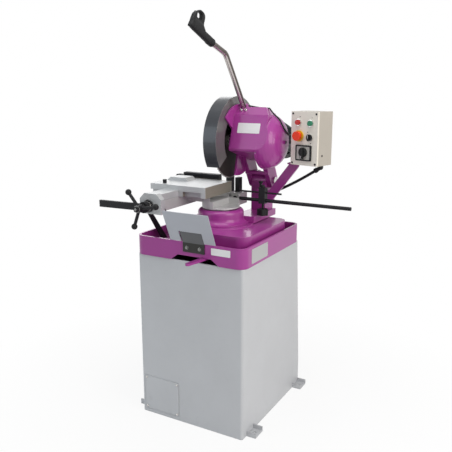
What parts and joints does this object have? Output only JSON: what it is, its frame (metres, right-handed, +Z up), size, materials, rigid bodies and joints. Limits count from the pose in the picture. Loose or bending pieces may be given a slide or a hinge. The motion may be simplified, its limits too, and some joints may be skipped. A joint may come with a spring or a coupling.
{
  "type": "cold saw",
  "caption": "Pedestal cold saw: swinging worm-drive head with toothed blade and guard on a mitre turntable, screw vise and bar stop, chip tray and sheet-steel stand.",
  "frame": {"origin": "on the floor, under the turntable's axis", "axes": "+X to the operator's right, +Y from the operator to the back, +Z up"},
  "size_m": [1.0092, 0.841, 1.7667],
  "materials": {
    "grey_paint": "satin light grey paint",
    "purple_paint": "gloss purple paint",
    "cast_grey": "pale grey painted casting with ground faces",
    "ground_steel": "ground steel",
    "black_steel": "black oxide",
    "bright_steel": "bright turned steel",
    "bronze": "machined bronze",
    "sheet_grey": "grey hammered sheet",
    "black_plastic": "satin black moulding",
    "cable_black": "black sheath",
    "box_grey": "pale grey moulding",
    "switch_grey": "grey plate",
    "red_plastic": "red moulding",
    "green_plastic": "green moulding",
    "yellow_plastic": "yellow moulding",
    "motor_paint": "dark paint",
    "tank_paint": "dark grey paint",
    "blade_steel": "dark oxide tool steel"
  },
  "bodies": {
    "base": {"stand": "grey_paint", "access_panel": "grey_paint", "panel_screws": "bright_steel", "feet": "grey_paint", "coolant_tank": "tank_paint", "coolant_pump": "motor_paint", "tray": "purple_paint", "pedestal": "purple_paint", "swivel_post": "bright_steel", "vise_bed": "cast_grey", "vise_nut": "bronze", "fixed_jaw_right": "black_steel", "vise_struts": "black_steel", "plate_bracket": "black_steel", "splash_plate": "sheet_grey", "plate_clips": "bright_steel", "stop_rod": "black_steel"},
    "lock": {"lock_lever": "purple_paint"},
    "left_jaw": {"fixed_jaw_left": "black_steel"},
    "jaw": {"moving_jaw": "cast_grey", "jaw_plate": "ground_steel", "jaw_lock_bolt": "black_steel"},
    "wheel": {"vise_screw": "bright_steel", "handwheel": "black_steel", "handwheel_balls": "black_plastic"},
    "clamp": {"clamp_lever": "black_steel"},
    "stop": {"stop_block": "black_steel", "pin_knob": "black_steel"},
    "stop_screw": {"stop_knob": "black_plastic"},
    "pin": {"stop_pin": "black_steel"},
    "table": {"turntable": "purple_paint", "pivot_pin": "bright_steel", "return_spring": "bright_steel", "depth_stop": "black_steel", "control_arm": "purple_paint", "control_box": "box_grey", "control_lid": "box_grey", "button_bezels": "bright_steel", "estop_collar": "yellow_plastic", "switch_plate": "switch_grey", "box_gland": "black_plastic", "box_lead": "cable_black"},
    "start": {"start_button": "green_plastic"},
    "halt": {"stop_button": "red_plastic"},
    "estop": {"estop_button": "red_plastic"},
    "selector": {"selector_knob": "black_plastic"},
    "mains": {"main_switch": "black_plastic"},
    "head": {"gearbox": "purple_paint", "gear_cover": "purple_paint", "motor": "motor_paint", "fan_cover": "black_plastic", "lever_tube": "bright_steel", "grip": "black_plastic", "trigger_cable": "cable_black"},
    "trigger": {"trigger": "red_plastic"},
    "spindle": {"spindle": "bright_steel", "worm_wheel": "bronze", "blade": "blade_steel"},
    "worm": {"worm_shaft": "bright_steel"},
    "guard": {"blade_guard": "sheet_grey"}
  },
  "joints": [
    {"name": "head_swivel", "type": "hinge", "parent": "base", "child": "table", "pos_m": [0, 0, 0.9], "axis": [0, 0, 1], "range_deg": [-15, 45]},
    {"name": "head_lower", "type": "hinge", "parent": "table", "child": "head", "pos_m": [0, 0.235, 1.05], "axis": [1, 0, 0], "range_deg": [0, 24.4], "stiffness_Nm_per_rad": 160, "springref_deg": -68.75},
    {"name": "guard_swing", "type": "hinge", "parent": "head", "child": "guard", "pos_m": [0, 0.09628, 1.24438], "axis": [1, 0, 0], "range_deg": [-40, 0]},
    {"name": "worm_spin", "type": "hinge", "parent": "head", "child": "worm", "pos_m": [0.124, 0.11775, 1.31048], "axis": [0, 0.9511, -0.309], "continuous": true},
    {"name": "blade_spin", "type": "hinge", "parent": "head", "child": "spindle", "pos_m": [0, 0.09628, 1.24438], "axis": [1, 0, 0], "continuous": true},
    {"name": "trigger_squeeze", "type": "slide", "parent": "head", "child": "trigger", "axis": [0, -0.309, -0.9511], "range_m": [0, 0.005], "stiffness_N_per_m": 600, "springref_m": -0.004},
    {"name": "handwheel_turn", "type": "hinge", "parent": "jaw", "child": "wheel", "pos_m": [-0.188, -0.355, 0.984], "axis": [0, -1, 0], "range_deg": [0, 5400]},
    {"name": "jaw_slide", "type": "slide", "parent": "base", "child": "jaw", "axis": [0, -1, 0], "range_m": [0, 0.12]},
    {"name": "clamp_swing", "type": "hinge", "parent": "jaw", "child": "clamp", "pos_m": [-0.188, -0.322, 0.984], "axis": [0, -1, 0], "range_deg": [-30, 30]},
    {"name": "lock_swing", "type": "hinge", "parent": "base", "child": "lock", "pos_m": [0.084, -0.236, 0.785], "axis": [0, 0, 1], "range_deg": [-20, 20]},
    {"name": "left_jaw_shift", "type": "slide", "parent": "base", "child": "left_jaw", "axis": [-1, 0, 0], "range_m": [0, 0.075]},
    {"name": "stop_slide", "type": "slide", "parent": "base", "child": "stop", "axis": [1, 0, 0], "range_m": [-0.01, 0.36]},
    {"name": "stop_screw_turn", "type": "hinge", "parent": "stop", "child": "stop_screw", "pos_m": [0.173, 0.078, 0.93], "axis": [0, 0, 1], "range_deg": [-180, 180]},
    {"name": "pin_slide", "type": "slide", "parent": "stop", "child": "pin", "axis": [1, 0, 0], "range_m": [-0.02, 0.03]},
    {"name": "start_press", "type": "slide", "parent": "table", "child": "start", "axis": [0.2588, 0.9659, 0], "range_m": [0, 0.004], "stiffness_N_per_m": 500, "springref_m": -0.003},
    {"name": "stop_press", "type": "slide", "parent": "table", "child": "halt", "axis": [0.2588, 0.9659, 0], "range_m": [0, 0.004], "stiffness_N_per_m": 500, "springref_m": -0.003},
    {"name": "estop_press", "type": "slide", "parent": "table", "child": "estop", "axis": [0.2588, 0.9659, 0], "range_m": [0, 0.005], "stiffness_N_per_m": 800, "springref_m": -0.004},
    {"name": "selector_turn", "type": "hinge", "parent": "table", "child": "selector", "pos_m": [0.38637, 0.08391, 1.26984], "axis": [0.2588, 0.9659, 0], "range_deg": [-45, 45]},
    {"name": "mains_turn", "type": "hinge", "parent": "table", "child": "mains", "pos_m": [0.35662, 0.09188, 1.206], "axis": [0.2588, 0.9659, 0], "range_deg": [0, 90]}
  ],
  "couplings": [
    {"joint": "guard_swing", "follows": "head_lower", "ratio": -1.6},
    {"joint": "blade_spin", "follows": "worm_spin", "ratio": 0.033333},
    {"joint": "handwheel_turn", "follows": "jaw_slide", "rad_per_m": 785.4}
  ]
}
